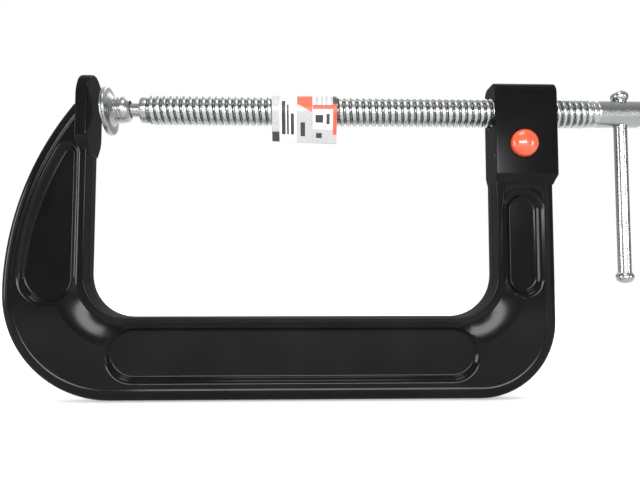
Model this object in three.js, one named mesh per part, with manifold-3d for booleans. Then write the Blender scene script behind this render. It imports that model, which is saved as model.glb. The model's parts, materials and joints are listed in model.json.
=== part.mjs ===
// Quick-release C clamp, 200 mm size, in millimetres.
// Origin: centre of the anvil's clamping face, on the spindle's axis.
// +X runs along the spindle towards the handle, +Z up, and -Y is the side with the push button.
import * as THREE from 'three';
import { mergeVertices } from 'three/addons/utils/BufferGeometryUtils.js';
import Module from 'manifold-3d';

const wasm = await Module();
wasm.setup();

// ---- Driving dimensions ----

// General clearances
const gap = 0.3;               // between pieces that touch or run on each other
const boreGap = 0.35;          // all round the spindle in its smooth bore
const overcut = 1;             // how far a cutter runs past the face it opens

// C frame casting
const throatWidth = 247.2;     // anvil face to the head's inner face
const throatDepth = 127.4;     // spindle axis down to the rail
const throatSetBack = 0.8;     // anvil leg's inner face, behind the anvil face
const railHeight = 50;
const innerCornerRadius = 26;
const spineBulge = 51;         // how far the back of the anvil leg stands behind the anvil face
const tipDepth = 12;           // back of the anvil leg's tip, behind the anvil face
const heelRadius = 65.4;       // lower corner on the anvil side
const toeRadius = 47.5;        // lower corner on the head side
const headLegWidth = 37.6;
const legTop = 2;              // anvil leg's tip, above the spindle's axis
const legIntoHead = 4;         // how far the head's leg runs up inside the head
const webHalf = 8.2;           // half the thickness of the web
const rimProud = 0.8;          // raised rim round the throat, on each face of the web
const rimWidth = 5.6;
const rimEdge = 0.6;
const rimLap = 0.4;            // the web stops this short of the throat, inside the rim
const outerBevel = 3.2;        // rounding of the casting's outer edges

// Pockets that lighten both faces, given by their floors
const pocketDepth = 3.2;
const pocketDraft = 3;         // how far the pocket walls lean out
const railPocketDrop = 7.6;    // below the rail's top
const railPocketRise = 14;     // above the rail's underside
const railPocketLeft = 15;     // from the anvil leg's inner face
const railPocketRight = 13;    // from the head leg's inner face
const headPocketLand = 8.6;    // from the head leg's inner face
const headPocketInset = 11.4;  // from the head leg's outer face
const headPocketDrop = 7.2;    // below the head
const headPocketRise = 14.6;   // above the rail's top
const anvilPocketLand = 8.2;   // from the anvil leg's inner face
const anvilPocketInset = 12.6; // from the leg's curved back
const anvilPocketDrop = 4;     // below the anvil plate
const anvilPocketSink = 5;     // below the heel's centre
const anvilPocketCorner = 7;

// Anvil plate
const anvilThickness = 7.4;
const anvilHalfWidth = 13.5;
const anvilTop = 21.5;
const anvilShoulder = 13;
const anvilSkirt = 17.5;       // where the sides stop below the axis
const anvilBottom = 27;
const anvilFlat = 5.5;         // half width of the plate's top edge

// Head that carries the spindle and the release
const headStep = 1.2;          // the head stands out past its leg
const headSideWall = 2.35;     // beside the spindle's bore
const headCrown = 8.15;        // above the spindle's bore
const headShoulder = 7;        // rounding of the head's top, front and back
const headSkirt = 10.3;        // head's sides below the button's guide
const headSlope = 5.4;         // underside that runs in to the leg
const headEdge = 1.2;
const headBackWall = 1.8;      // behind the plunger's blind bore

// Spindle: a plain cylinder of the thread's outer diameter stands for the thread
const spindleDiameter = 18;
const threadSpare = 29;        // thread outside the head when the pad is at the anvil
const shankLength = 28.2;      // plain end that holds the bar
const shankRelief = 0.65;      // shank below the thread's crest
const collarRelief = 1.1;      // collar below the thread's crest
const collarLength = 4.3;
const neckLength = 12.3;       // from the ball's centre to the collar
const neckDiameter = 8.4;
const ballOverNeck = 3;        // ball diameter less neck diameter
const endChamfer = 1;

// Swivel pad
const padOpening = 7;          // anvil face to the pad's face, with the pad square
const padReach = 9.5;          // ball's centre to the pad's face
const padDiameter = 30;
const padEdge = 0.6;
const padLand = 1;             // flat ring inside the flange's edge
const flangeThickness = 3.4;
const coneHeight = 6.2;        // pad's face to the top of its hollow cone
const hubWall = 2;
const hubReach = 5.8;          // ball's centre to the hub's end
const hubRound = 2.4;          // length over which the hub's end is rounded
const mouthClearance = 0.57;   // all round the neck when the pad leans
const mouthLip = 0.5;
const padLean = 4.7;           // degrees: the pad droops until its mouth meets the neck

// Sliding bar
const barDiameter = 8;
const barInset = 12.2;         // bar's axis to the spindle's end
const barReach = 114.8;        // between the knobs' centres
const knobOverBar = 2.9;       // knob diameter less bar diameter
const knobHeight = 7.8;
const knobCrown = 1.6;         // knob left beyond the end of the bar's hole
const knobClearance = 0.65;    // between the upper knob and the spindle
const barHoleClearance = 0.4;

// Push button
const buttonInset = 17.5;      // button's axis from the head's inner face
const buttonCover = 3.35;      // head left between the spindle's bore and the button's guide
const buttonDiameter = 17;
const buttonRise = 6;          // how far the dome stands out of the head
const buttonBand = 1.2;        // straight part of that
const buttonTravel = 3;
const buttonDepth = 4.1;       // body length inside the head
const flangeWall = 1.5;        // button's retaining flange, behind its groove
const flangeDrop = 1.5;        // flange's top, below the button's axis
const retainerDiameter = 2;
const retainerBite = 1.7;      // retaining pin's axis inside the button's edge
const retainerHold = 1.4;      // pin held in the head past the button

// Plunger and half nut
const plungerDiameter = 8;
const plungerNose = 2.4;       // radius of the end held in the button
const plungerSetBack = 0.6;    // that end, from the head's face
const plungerGuide = 2.3;      // full diameter behind the ramp
const spigotDiameter = 3;
const spigotClearance = 0.5;   // from the bore's floor, with the button pressed home
const nutDrop = 2.25;          // how far the half nut falls when the button is pressed home
const nutLength = 18;
const nutHalfWidth = 4.2;
const nutDepth = 5.8;          // below the thread's crest
const footHalfLength = 3;
const footHalfWidth = 1.5;

// Return spring
const springWire = 0.6;
const springMeanDiameter = 5.6;
const springTurns = 4;

// Paper band looped on the spindle
const bandStart = 109.9;       // from the anvil face
const bandLength = 39.9;
const bandWall = 0.35;
const bandHang = 20.3;         // below the spindle's axis
const bandFold = 0.5;          // half the thickness of the glued fold

// ---- Worked-out sizes and places ----

const throatLeft = -throatSetBack;
const railTop = -throatDepth;
const railBottom = railTop - railHeight;
const legOuter = throatWidth + headLegWidth;
const headOuter = legOuter + headStep;
const rimHalf = webHalf + rimProud;
const heelX = heelRadius - spineBulge;
const heelZ = railBottom + heelRadius;
const spineRun = spineBulge - tipDepth;
// Long curve of the leg's back, from the heel to the tip
const spineRadius = (spineRun ** 2 + (legTop - heelZ) ** 2) / (2 * spineRun);
const spineX = spineRadius - spineBulge;
const toeX = legOuter - toeRadius;
const toeZ = railBottom + toeRadius;

const spindleRadius = spindleDiameter / 2;
const boreRadius = spindleRadius + boreGap;
const shankRadius = spindleRadius - shankRelief;
const collarRadius = spindleRadius - collarRelief;
const neckRadius = neckDiameter / 2;
const ballRadius = neckRadius + ballOverNeck / 2;
const socketRadius = ballRadius + gap;
const hubRadius = socketRadius + hubWall;
const mouthRadius = neckRadius + hubReach * Math.tan(THREE.MathUtils.degToRad(padLean)) + mouthClearance;
const ballX = padOpening + padReach;
const collarStart = ballX + neckLength;
const collarEnd = collarStart + collarLength;
const threadEnd = headOuter + threadSpare;
const spindleEnd = threadEnd + shankLength;

const barRadius = barDiameter / 2;
const barX = spindleEnd - barInset;
const knobRadius = barRadius + knobOverBar / 2;
const knobHoleRadius = barRadius + gap;
const knobHalf = knobHeight / 2;
const knobNeck = knobHalf * Math.sqrt(1 - (knobHoleRadius / knobRadius) ** 2);   // centre to the hole's mouth
const knobSeat = knobHalf - knobCrown;    // centre to the end of the hole
const upperKnobZ = shankRadius + knobClearance + knobNeck;
const lowerKnobZ = upperKnobZ - barReach;

const buttonRadius = buttonDiameter / 2;
const guideRadius = buttonRadius + gap;
const buttonX = throatWidth + buttonInset;
const buttonZ = -boreRadius - buttonCover - guideRadius;
const headHalf = boreRadius + headSideWall;
const headTop = boreRadius + headCrown;
const headSideLow = buttonZ - guideRadius - headSkirt;
const headBottom = headSideLow - headSlope;
const buttonInner = -headHalf + buttonDepth;
const retainerRadius = retainerDiameter / 2;
const retainerDrop = buttonRadius - retainerBite;
const retainerY = -headHalf + buttonTravel + retainerRadius + gap;
const retainerZ = buttonZ - retainerDrop;
const retainerEndX = buttonX + Math.sqrt(guideRadius ** 2 - retainerDrop ** 2) + retainerHold;
const grooveRear = retainerY + retainerRadius + gap;
const flangeEnd = grooveRear + flangeWall;
const flangeTop = buttonZ - flangeDrop;

const plungerRadius = plungerDiameter / 2;
const plungerBore = plungerRadius + gap;
const plungerTop = buttonZ + plungerRadius;
const plungerFront = -headHalf + plungerSetBack;
const boreFloorY = headHalf - headBackWall;
const rampSlope = nutDrop / buttonTravel;
const rampHighY = footHalfWidth;
const rampLowY = -footHalfWidth - buttonTravel;
const plungerShoulder = rampHighY + plungerGuide;
const nutBottom = -spindleRadius - nutDepth;

// ---- Helpers ----

// A closed three.js geometry as a manifold solid.
function solid(geometry) {
  const bare = geometry.clone();
  bare.deleteAttribute('normal');
  bare.deleteAttribute('uv');
  const merged = mergeVertices(bare, 1e-4);
  return new wasm.Manifold(new wasm.Mesh({
    numProp: 3,
    vertProperties: new Float32Array(merged.attributes.position.array),
    triVerts: new Uint32Array(merged.index.array),
  }));
}

// A manifold solid back as a three.js geometry.
function geometryOf(body) {
  const mesh = body.getMesh();
  const geometry = new THREE.BufferGeometry();
  geometry.setAttribute('position', new THREE.BufferAttribute(mesh.vertProperties, 3));
  geometry.setIndex(new THREE.BufferAttribute(mesh.triVerts, 1));
  geometry.computeVertexNormals();
  return geometry;
}

// An outline in X and Z, extruded along Y from low to high. Options are ExtrudeGeometry's own.
function alongY(shape, low, high, options = {}) {
  const bevel = options.bevelEnabled ? options.bevelThickness : 0;
  const geometry = new THREE.ExtrudeGeometry(shape, {
    bevelEnabled: false, curveSegments: 12, ...options, depth: high - low - 2 * bevel,
  });
  geometry.rotateX(Math.PI / 2);
  return geometry.translate(0, high - bevel, 0);
}

// An outline in Y and Z, extruded along X from low to high.
function alongX(shape, low, high, options = {}) {
  const bevel = options.bevelEnabled ? options.bevelThickness : 0;
  const geometry = new THREE.ExtrudeGeometry(shape, {
    bevelEnabled: false, curveSegments: 12, ...options, depth: high - low - 2 * bevel,
  });
  const turn = new THREE.Matrix4().makeBasis(
    new THREE.Vector3(0, 1, 0), new THREE.Vector3(0, 0, 1), new THREE.Vector3(1, 0, 0));
  geometry.applyMatrix4(turn);
  return geometry.translate(low + bevel, 0, 0);
}

// A profile of [radius, height] points turned about the Y axis.
function turned(profile, sides = 32) {
  return new THREE.LatheGeometry(profile.map(([r, h]) => new THREE.Vector2(r, h)), sides);
}

// The same, turned about the X axis: each point is [radius, x].
function turnedX(profile, sides = 32) {
  return turned(profile, sides).applyMatrix4(new THREE.Matrix4().makeBasis(
    new THREE.Vector3(0, 1, 0), new THREE.Vector3(1, 0, 0), new THREE.Vector3(0, 0, -1)));
}

// The same, turned about the Z axis: each point is [radius, z].
function turnedZ(profile, sides = 32) {
  return turned(profile, sides).rotateX(Math.PI / 2);
}

function block(x0, x1, y0, y1, z0, z1) {
  return new THREE.BoxGeometry(x1 - x0, y1 - y0, z1 - z0)
    .translate((x0 + x1) / 2, (y0 + y1) / 2, (z0 + z1) / 2);
}

// Round rods, or holes, along each axis.
function rodX(radius, low, high, sides) {
  return turnedX([[0, low], [radius, low], [radius, high], [0, high]], sides);
}

function rodZ(radius, low, high, sides) {
  return turnedZ([[0, low], [radius, low], [radius, high], [0, high]], sides);
}

function buttonBar(radius, low, high, sides) {
  return turned([[0, low], [radius, low], [radius, high], [0, high]], sides)
    .translate(buttonX, 0, buttonZ);
}

// A block wider than the button, from below its guide up to the given height.
function belowButton(y0, y1, top) {
  const reach = guideRadius + overcut;
  return block(buttonX - reach, buttonX + reach, y0, y1, buttonZ - reach, top);
}

function polygon(points) {
  return new THREE.Shape(points.map(([a, b]) => new THREE.Vector2(a, b)));
}

// ---- C frame ----

// Angle of the anvil leg's tip on a curve of the spine, seen from the curve's centre.
function tipAngle(radius) {
  return Math.PI - Math.asin((legTop - heelZ) / radius);
}

// The C outline, with its throat side shrunk by one margin and its outside by another.
function cOutline(insideMargin, outsideMargin) {
  const shape = new THREE.Shape();
  const r = innerCornerRadius + insideMargin;
  const left = throatLeft - insideMargin;
  const right = throatWidth + insideMargin;
  const floor = railTop - insideMargin;
  const back = spineRadius - outsideMargin;
  shape.moveTo(left, legTop);
  shape.lineTo(left, floor + r);
  shape.absarc(left + r, floor + r, r, Math.PI, 1.5 * Math.PI, false);
  shape.absarc(right - r, floor + r, r, 1.5 * Math.PI, 2 * Math.PI, false);
  shape.lineTo(right, headSideLow + legIntoHead);
  shape.lineTo(legOuter - outsideMargin, headSideLow + legIntoHead);
  shape.absarc(toeX, toeZ, toeRadius - outsideMargin, 0, -0.5 * Math.PI, true);
  shape.absarc(heelX, heelZ, heelRadius - outsideMargin, -0.5 * Math.PI, -Math.PI, true);
  shape.absarc(spineX, heelZ, back, Math.PI, tipAngle(back), true);
  shape.closePath();
  return shape;
}

// The rim: a band of even width that follows the throat.
function rimOutline() {
  const shape = new THREE.Shape();
  const r = innerCornerRadius;
  const wide = r + rimWidth;
  shape.moveTo(throatLeft, legTop);
  shape.lineTo(throatLeft, railTop + r);
  shape.absarc(throatLeft + r, railTop + r, r, Math.PI, 1.5 * Math.PI, false);
  shape.absarc(throatWidth - r, railTop + r, r, 1.5 * Math.PI, 2 * Math.PI, false);
  shape.lineTo(throatWidth, headSideLow + legIntoHead);
  shape.lineTo(throatWidth + rimWidth, headSideLow + legIntoHead);
  shape.absarc(throatWidth - r, railTop + r, wide, 0, -0.5 * Math.PI, true);
  shape.absarc(throatLeft + r, railTop + r, wide, 1.5 * Math.PI, Math.PI, true);
  shape.lineTo(throatLeft - rimWidth, legTop);
  shape.closePath();
  return shape;
}

// Pocket floors, one outline for each limb of the C.
function railPocket() {
  const bottom = railBottom + railPocketRise;
  const r = (railTop - railPocketDrop - bottom) / 2;
  const left = throatLeft + railPocketLeft + r;
  const right = throatWidth - railPocketRight - r;
  const shape = new THREE.Shape();
  shape.absarc(left, bottom + r, r, 0.5 * Math.PI, 1.5 * Math.PI, false);
  shape.absarc(right, bottom + r, r, -0.5 * Math.PI, 0.5 * Math.PI, false);
  shape.closePath();
  return shape;
}

function headLegPocket() {
  const left = throatWidth + headPocketLand;
  const r = (legOuter - headPocketInset - left) / 2;
  const shape = new THREE.Shape();
  shape.absarc(left + r, headBottom - headPocketDrop - r, r, 0, Math.PI, false);
  shape.absarc(left + r, railTop + headPocketRise + r, r, Math.PI, 2 * Math.PI, false);
  shape.closePath();
  return shape;
}

// Straight on the throat side, curved like the spine behind, and pointed at the top.
function anvilLegPocket() {
  const right = throatLeft - anvilPocketLand;
  const back = spineRadius - anvilPocketInset;
  const high = -anvilBottom - anvilPocketDrop;
  const low = heelZ - anvilPocketSink;
  const corner = anvilPocketCorner;
  const curveLow = low + corner;
  const curveHigh = high + corner / 2;
  const steps = 8;
  const shape = new THREE.Shape();
  shape.moveTo(right, high - corner);
  shape.lineTo(right, low + corner);
  shape.absarc(right - corner, low + corner, corner, 0, -0.5 * Math.PI, true);
  shape.lineTo(spineX - back + corner, low);
  shape.quadraticCurveTo(spineX - back, low, spineX - back, curveLow);
  for (let i = 1; i <= steps; i += 1) {
    const z = curveLow + (curveHigh - curveLow) * i / steps;
    shape.lineTo(spineX - Math.sqrt(back ** 2 - (z - heelZ) ** 2), z);
  }
  shape.quadraticCurveTo(right, curveHigh, right, high - corner);
  shape.closePath();
  return shape;
}

// A cutter that starts at the pocket's floor and widens to its mouth, on one face of the web.
function pocketCutter(shape, side) {
  const floorY = webHalf - pocketDepth;
  const wall = pocketDepth + rimEdge / 2;
  const outerY = rimHalf + overcut + wall;
  return alongY(shape, side > 0 ? floorY : -outerY, side > 0 ? outerY : -floorY, {
    bevelEnabled: true, bevelThickness: wall, bevelSize: pocketDraft, bevelSegments: 1, curveSegments: 10,
  });
}

function anvilOutline() {
  return polygon([
    [-anvilFlat, anvilTop], [-anvilHalfWidth, anvilShoulder], [-anvilHalfWidth, -anvilSkirt],
    [-webHalf, -anvilBottom], [webHalf, -anvilBottom], [anvilHalfWidth, -anvilSkirt],
    [anvilHalfWidth, anvilShoulder], [anvilFlat, anvilTop],
  ]);
}

function headOutline() {
  const centreY = headHalf - headShoulder;
  const centreZ = headTop - headShoulder;
  const shape = new THREE.Shape();
  shape.moveTo(-webHalf, headBottom);
  shape.lineTo(webHalf, headBottom);
  shape.lineTo(headHalf, headSideLow);
  shape.absarc(centreY, centreZ, headShoulder, 0, 0.5 * Math.PI, false);
  shape.absarc(-centreY, centreZ, headShoulder, 0.5 * Math.PI, Math.PI, false);
  shape.lineTo(-headHalf, headSideLow);
  shape.closePath();
  return shape;
}

// Options for an extrusion whose rounded ends stay inside its outline.
function rounded(size, bevelSegments) {
  return { bevelEnabled: true, bevelThickness: size, bevelSize: size, bevelOffset: -size, bevelSegments };
}

function makeFrame() {
  const web = alongY(cOutline(rimLap, 0), -webHalf, webHalf, rounded(outerBevel, 2));
  const rim = alongY(rimOutline(), -rimHalf, rimHalf, rounded(rimEdge, 1));
  const anvil = alongX(anvilOutline(), -anvilThickness, 0);
  const head = alongX(headOutline(), throatWidth, headOuter, rounded(headEdge, 1));
  let body = solid(web).add(solid(rim)).add(solid(anvil)).add(solid(head));
  for (const pocket of [railPocket(), headLegPocket(), anvilLegPocket()]) {
    for (const side of [-1, 1]) {
      body = body.subtract(solid(pocketCutter(pocket, side)));
    }
  }

  // Smooth bore for the spindle
  body = body.subtract(solid(rodX(boreRadius, throatWidth - overcut, headOuter + overcut, 40)));

  // Guide for the button, with a deeper lower half for its retaining flange
  const guideEnd = buttonInner + buttonTravel + gap;
  body = body.subtract(solid(buttonBar(guideRadius, -headHalf - overcut, guideEnd, 40)));
  const flangeRoom = solid(buttonBar(guideRadius, buttonInner, flangeEnd + buttonTravel + gap, 40));
  body = body.subtract(flangeRoom.intersect(solid(belowButton(-headHalf, 0, flangeTop + gap))));

  // Blind bore for the plunger and its spring
  body = body.subtract(solid(buttonBar(plungerBore, -headHalf, boreFloorY, 24)));

  // Slot in which the half nut rises and falls, open to the plunger's bore for its foot
  const slotX = nutLength / 2 + gap;
  const slotY = nutHalfWidth + gap;
  const slotLow = nutBottom - nutDrop - gap;
  const footX = footHalfLength + gap;
  const footLow = buttonZ + Math.sqrt(plungerBore ** 2 - footX ** 2) - gap;
  body = body.subtract(solid(block(buttonX - slotX, buttonX + slotX, -slotY, slotY, slotLow, 0)));
  body = body.subtract(solid(block(buttonX - footX, buttonX + footX, -slotY, slotY, footLow, 0)));

  // Hole for the pin that keeps the button in
  const pinHole = rodX(retainerRadius + gap, throatWidth - overcut, retainerEndX + gap, 16);
  body = body.subtract(solid(pinHole.translate(0, retainerY, retainerZ)));
  return geometryOf(body);
}

// ---- Spindle with its ball nose ----

function makeBall() {
  return new THREE.SphereGeometry(ballRadius, 24, 16).rotateZ(Math.PI / 2).translate(ballX, 0, 0);
}

// The spindle's nose is hollowed to sit on the ball; it starts where the neck is full.
function makeSpindle() {
  const noseRadius = neckRadius / 2;
  const seat = (radius) => ballX + Math.sqrt(socketRadius ** 2 - radius ** 2);
  const profile = [
    [0, seat(0)], [noseRadius, seat(noseRadius)], [neckRadius, seat(neckRadius) + gap / 2],
    [neckRadius, collarStart], [collarRadius, collarStart], [collarRadius, collarEnd],
    [spindleRadius - endChamfer, collarEnd], [spindleRadius, collarEnd + endChamfer],
    [spindleRadius, threadEnd], [shankRadius, threadEnd + endChamfer],
    [shankRadius, spindleEnd - endChamfer], [shankRadius - endChamfer, spindleEnd], [0, spindleEnd],
  ];
  const hole = rodZ(barRadius + barHoleClearance, -spindleDiameter, spindleDiameter, 24);
  return geometryOf(solid(turnedX(profile, 40)).subtract(solid(hole.translate(barX, 0, 0))));
}

// ---- Swivel pad: a turned disc and socket closed over the ball, drawn from the ball's centre ----

function makePad() {
  const face = -padReach;
  const rim = padDiameter / 2;
  const flangeEndX = face + flangeThickness;
  const profile = [
    [0, face], [rim - padEdge, face], [rim, face + padEdge],
    [rim, flangeEndX - padEdge], [rim - padEdge, flangeEndX],
  ];

  // Hollow cone that sweeps from the flange in to the hub
  const coneFoot = flangeEndX + gap;
  const coneTop = face + coneHeight;
  const land = rim - padLand;
  const coneSteps = 4;
  for (let i = 0; i <= coneSteps; i += 1) {
    const angle = (Math.PI / 2) * i / coneSteps;
    const radius = land + (hubRadius - land) * Math.sin(angle);
    profile.push([radius, coneFoot + (coneTop - coneFoot) * (1 - Math.cos(angle))]);
  }
  profile.push([hubRadius, hubReach - hubRound], [mouthRadius + 2 * mouthLip, hubReach - mouthLip]);
  profile.push([mouthRadius + mouthLip, hubReach], [mouthRadius, hubReach - mouthLip]);

  // Socket round the ball, from its mouth to its floor
  const mouthAngle = Math.asin(mouthRadius / socketRadius);
  const socketSteps = 9;
  for (let i = 0; i <= socketSteps; i += 1) {
    const angle = mouthAngle + (Math.PI - mouthAngle) * i / socketSteps;
    profile.push([i === socketSteps ? 0 : socketRadius * Math.sin(angle), socketRadius * Math.cos(angle)]);
  }
  return turnedX(profile, 40);
}

// ---- Sliding bar and its knobs ----

function makeBar() {
  return rodZ(barRadius, lowerKnobZ - knobSeat + gap, upperKnobZ + knobSeat - gap, 24).translate(barX, 0, 0);
}

// A flattened ball with a blind hole, opening downwards when side is 1 and upwards when it is -1.
function makeKnob(side) {
  const start = Math.acos(knobHoleRadius / knobRadius);
  const steps = 10;
  const profile = [[knobHoleRadius, -knobNeck]];
  for (let i = 1; i <= steps; i += 1) {
    const angle = -start + (Math.PI / 2 + start) * i / steps;
    profile.push([i === steps ? 0 : knobRadius * Math.cos(angle), knobHalf * Math.sin(angle)]);
  }
  profile.push([0, knobSeat], [knobHoleRadius, knobSeat], profile[0]);
  const geometry = turnedZ(profile, 24);
  return side > 0 ? geometry : geometry.rotateX(Math.PI);
}

// ---- Release: button, plunger, spring, half nut and retaining pin ----

function makeButton() {
  const domeStart = -headHalf - buttonBand;
  const domeHeight = buttonRise - buttonBand;
  const steps = 8;
  const profile = [[0, domeStart - domeHeight]];
  for (let i = 1; i <= steps; i += 1) {
    const angle = (Math.PI / 2) * i / steps;
    profile.push([buttonRadius * Math.sin(angle), domeStart - domeHeight * Math.cos(angle)]);
  }
  profile.push([buttonRadius, buttonInner], [0, buttonInner]);
  let body = solid(turned(profile, 40).translate(buttonX, 0, buttonZ));

  // Lower flange that reaches behind the retaining pin
  const tail = solid(buttonBar(buttonRadius, buttonInner - gap, flangeEnd, 40));
  body = body.add(tail.intersect(solid(belowButton(-headHalf, 0, flangeTop))));

  // Groove in which the pin stands while the button travels
  const grooveFront = retainerY - retainerRadius - buttonTravel - gap;
  body = body.subtract(solid(belowButton(grooveFront, grooveRear, retainerZ + retainerRadius + gap)));

  // Blind hole for the plunger's front end, and room round its shoulder
  body = body.subtract(solid(buttonBar(plungerNose + gap, plungerFront - gap, 0, 20)));
  body = body.subtract(solid(buttonBar(plungerBore, buttonInner, 0, 24)));
  return geometryOf(body);
}

// A round plunger with a ramp cut across its top, on which the half nut's foot rides.
function makePlunger() {
  const inner = buttonInner + gap;
  const spigot = spigotDiameter / 2;
  const spigotEnd = boreFloorY - buttonTravel - spigotClearance;
  const profile = [
    [0, plungerFront], [plungerNose, plungerFront], [plungerNose, inner], [plungerRadius, inner],
    [plungerRadius, plungerShoulder], [spigot, plungerShoulder], [spigot, spigotEnd], [0, spigotEnd],
  ];
  const body = solid(turned(profile, 24).translate(buttonX, 0, buttonZ));
  const rampLow = plungerTop - rampSlope * (rampHighY - rampLowY);
  const ramp = polygon([
    [rampHighY, plungerTop], [rampHighY, plungerTop + overcut], [rampLowY, plungerTop + overcut],
    [rampLowY, rampLow],
  ]);
  const reach = plungerRadius + overcut;
  return geometryOf(body.subtract(solid(alongX(ramp, buttonX - reach, buttonX + reach))));
}

// A block with a saddle that follows the spindle, on a foot that follows the plunger's ramp.
function makeHalfNut() {
  const half = nutLength / 2;
  const top = -spindleRadius + nutDrop;
  const main = block(buttonX - half, buttonX + half, -nutHalfWidth, nutHalfWidth, nutBottom, top);
  const footHigh = plungerTop + gap;
  const footTop = nutBottom + overcut;
  const foot = polygon([
    [footHalfWidth, footHigh], [footHalfWidth, footTop], [-footHalfWidth, footTop],
    [-footHalfWidth, footHigh - rampSlope * 2 * footHalfWidth],
  ]);
  const stem = alongX(foot, buttonX - footHalfLength, buttonX + footHalfLength);
  const saddle = rodX(spindleRadius + gap, buttonX - nutLength, buttonX + nutLength, 48);
  return geometryOf(solid(main).add(solid(stem)).subtract(solid(saddle)));
}

function makeRetainer() {
  return rodX(retainerRadius, throatWidth + gap, retainerEndX, 12).translate(0, retainerY, retainerZ);
}

// A helix between the plunger's shoulder and the bottom of its bore.
function makeSpring() {
  const wireRadius = springWire / 2;
  const start = plungerShoulder + gap + wireRadius;
  const end = boreFloorY - gap - wireRadius;
  const meanRadius = springMeanDiameter / 2;
  class Helix extends THREE.Curve {
    getPoint(t, target = new THREE.Vector3()) {
      const angle = t * springTurns * 2 * Math.PI;
      target.set(Math.cos(angle), 0, Math.sin(angle)).multiplyScalar(meanRadius);
      return target.setY(start + (end - start) * t);
    }
  }
  const section = new THREE.Shape();
  section.absarc(0, 0, wireRadius, 0, 2 * Math.PI, false);
  const geometry = new THREE.ExtrudeGeometry(section, {
    steps: springTurns * 14, curveSegments: 6, bevelEnabled: false, extrudePath: new Helix(),
  });
  return geometry.translate(buttonX, 0, buttonZ);
}

// ---- Paper band ----

// A drop-shaped loop: round over the spindle, its two sides meeting in a fold below.
function bandLoop(radius, hang) {
  const shape = new THREE.Shape();
  const tangent = Math.asin((radius - bandFold) / hang);
  shape.moveTo(bandFold, -hang);
  shape.absarc(0, 0, radius, -tangent, Math.PI + tangent, false);
  shape.lineTo(-bandFold, -hang);
  shape.closePath();
  return shape;
}

function makeBand() {
  const inner = spindleRadius + gap;
  const foldDepth = 2.5 * bandWall;
  const outline = bandLoop(inner + bandWall, bandHang);
  const hole = bandLoop(inner, bandHang - foldDepth);
  outline.holes.push(new THREE.Path(hole.getPoints(16).reverse()));
  return alongX(outline, bandStart, bandStart + bandLength, { curveSegments: 16 });
}

// ---- Assembly ----

const blackPaint = { color: 0x16161a, roughness: 0.35, metalness: 0.1 };
const zinc = { color: 0xc4c8cc, roughness: 0.32, metalness: 0.9 };
const steel = { color: 0x8b8f94, roughness: 0.45, metalness: 0.9 };
const coral = { color: 0xe9603f, roughness: 0.3, metalness: 0.0 };
const paper = { color: 0xe9e9e6, roughness: 0.75, metalness: 0.0 };

const group = new THREE.Group();

function place(name, geometry, finish, parent = group) {
  const mesh = new THREE.Mesh(geometry, new THREE.MeshStandardMaterial(finish));
  mesh.name = name;
  parent.add(mesh);
  return mesh;
}

place('frame', makeFrame(), blackPaint);
place('nose_ball', makeBall(), zinc);
place('spindle', makeSpindle(), zinc);

const pad = place('swivel_pad', makePad(), zinc);
pad.position.set(ballX, 0, 0);
pad.rotation.y = -THREE.MathUtils.degToRad(padLean);

place('t_bar', makeBar(), zinc);
place('t_bar_knob_upper', makeKnob(1), zinc).position.set(barX, 0, upperKnobZ);
place('t_bar_knob_lower', makeKnob(-1), zinc).position.set(barX, 0, lowerKnobZ);

place('release_button', makeButton(), coral);
place('release_plunger', makePlunger(), steel);
place('return_spring', makeSpring(), steel);
place('half_nut', makeHalfNut(), steel);
place('button_retaining_pin', makeRetainer(), steel);
place('label_band', makeBand(), paper);

export default group;
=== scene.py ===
import json
import math

import bmesh
import bpy
from mathutils import Matrix, Vector


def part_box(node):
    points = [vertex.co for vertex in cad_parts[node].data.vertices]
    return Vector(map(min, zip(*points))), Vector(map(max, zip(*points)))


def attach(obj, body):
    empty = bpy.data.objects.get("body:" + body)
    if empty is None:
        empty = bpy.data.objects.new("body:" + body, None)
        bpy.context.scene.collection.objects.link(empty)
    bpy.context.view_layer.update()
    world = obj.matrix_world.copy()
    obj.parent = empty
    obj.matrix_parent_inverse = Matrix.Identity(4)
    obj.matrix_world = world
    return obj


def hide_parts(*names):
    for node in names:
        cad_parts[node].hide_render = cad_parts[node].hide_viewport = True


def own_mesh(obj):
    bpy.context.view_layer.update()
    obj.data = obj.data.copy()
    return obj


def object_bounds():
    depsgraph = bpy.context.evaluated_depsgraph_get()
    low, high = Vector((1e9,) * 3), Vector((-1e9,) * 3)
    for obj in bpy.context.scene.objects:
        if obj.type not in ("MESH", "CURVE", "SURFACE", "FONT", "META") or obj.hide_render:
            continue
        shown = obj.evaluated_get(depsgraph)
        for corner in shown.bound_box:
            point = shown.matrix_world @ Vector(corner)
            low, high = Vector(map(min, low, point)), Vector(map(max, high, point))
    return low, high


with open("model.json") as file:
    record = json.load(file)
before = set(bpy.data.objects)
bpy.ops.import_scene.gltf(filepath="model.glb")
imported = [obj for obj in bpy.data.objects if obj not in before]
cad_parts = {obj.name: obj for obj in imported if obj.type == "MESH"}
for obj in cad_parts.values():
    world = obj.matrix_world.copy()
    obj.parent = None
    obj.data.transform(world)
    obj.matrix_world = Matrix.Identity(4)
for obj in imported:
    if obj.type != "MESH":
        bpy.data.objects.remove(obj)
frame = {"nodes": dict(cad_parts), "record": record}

cad_low, cad_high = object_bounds()


# ---- C frame ---------------------------------------------------------------------------------
# One iron casting, powder coated in gloss black. The two mould halves meet at its mid plane,
# so every wall leans away from there and a fine parting line runs round it. The head is drilled
# after casting for the spindle, the button and what works behind it.

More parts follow.
